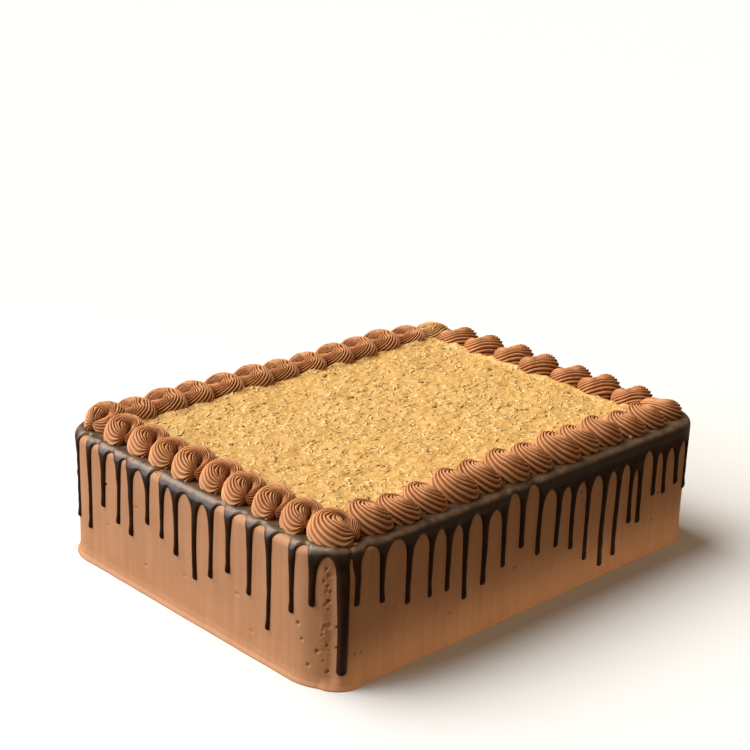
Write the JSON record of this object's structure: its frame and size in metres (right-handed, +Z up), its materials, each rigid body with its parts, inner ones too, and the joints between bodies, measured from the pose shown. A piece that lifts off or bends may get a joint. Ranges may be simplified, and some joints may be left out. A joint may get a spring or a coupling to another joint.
{
  "type": "german chocolate sheet cake",
  "caption": "Uncut rectangular chocolate sheet cake with a dark ganache drip, a coconut and pecan topping and a border of piped chocolate swirls.",
  "frame": {"origin": "middle of the underside, on the surface the cake stands on", "axes": "+X along the long side, +Y along the short side away from the front, +Z up"},
  "size_m": [0.4056, 0.3086, 0.116],
  "materials": {
    "milk_chocolate_icing": "smoothed matte chocolate buttercream",
    "ganache": "set dark chocolate ganache, satin",
    "coconut_pecan": "sticky coconut and pecan frosting, slightly glossy",
    "chocolate_buttercream": "piped chocolate buttercream, satin"
  },
  "bodies": {
    "root": {"cake_body": "milk_chocolate_icing", "ganache_drip": "ganache", "coconut_pecan_topping": "coconut_pecan", "swirl_01": "chocolate_buttercream", "swirl_02": "chocolate_buttercream", "swirl_03": "chocolate_buttercream", "swirl_04": "chocolate_buttercream", "swirl_05": "chocolate_buttercream", "swirl_06": "chocolate_buttercream", "swirl_07": "chocolate_buttercream", "swirl_08": "chocolate_buttercream", "swirl_09": "chocolate_buttercream", "swirl_10": "chocolate_buttercream", "swirl_11": "chocolate_buttercream", "swirl_12": "chocolate_buttercream", "swirl_13": "chocolate_buttercream", "swirl_14": "chocolate_buttercream", "swirl_15": "chocolate_buttercream", "swirl_16": "chocolate_buttercream", "swirl_17": "chocolate_buttercream", "swirl_18": "chocolate_buttercream", "swirl_19": "chocolate_buttercream", "swirl_20": "chocolate_buttercream", "swirl_21": "chocolate_buttercream", "swirl_22": "chocolate_buttercream", "swirl_23": "chocolate_buttercream", "swirl_24": "chocolate_buttercream", "swirl_25": "chocolate_buttercream", "swirl_26": "chocolate_buttercream", "swirl_27": "chocolate_buttercream", "swirl_28": "chocolate_buttercream", "swirl_29": "chocolate_buttercream", "swirl_30": "chocolate_buttercream", "swirl_31": "chocolate_buttercream", "swirl_32": "chocolate_buttercream", "swirl_33": "chocolate_buttercream", "swirl_34": "chocolate_buttercream", "swirl_35": "chocolate_buttercream", "swirl_36": "chocolate_buttercream", "swirl_37": "chocolate_buttercream", "swirl_38": "chocolate_buttercream", "swirl_39": "chocolate_buttercream", "swirl_40": "chocolate_buttercream", "swirl_41": "chocolate_buttercream", "swirl_42": "chocolate_buttercream"}
  },
  "joints": []
}
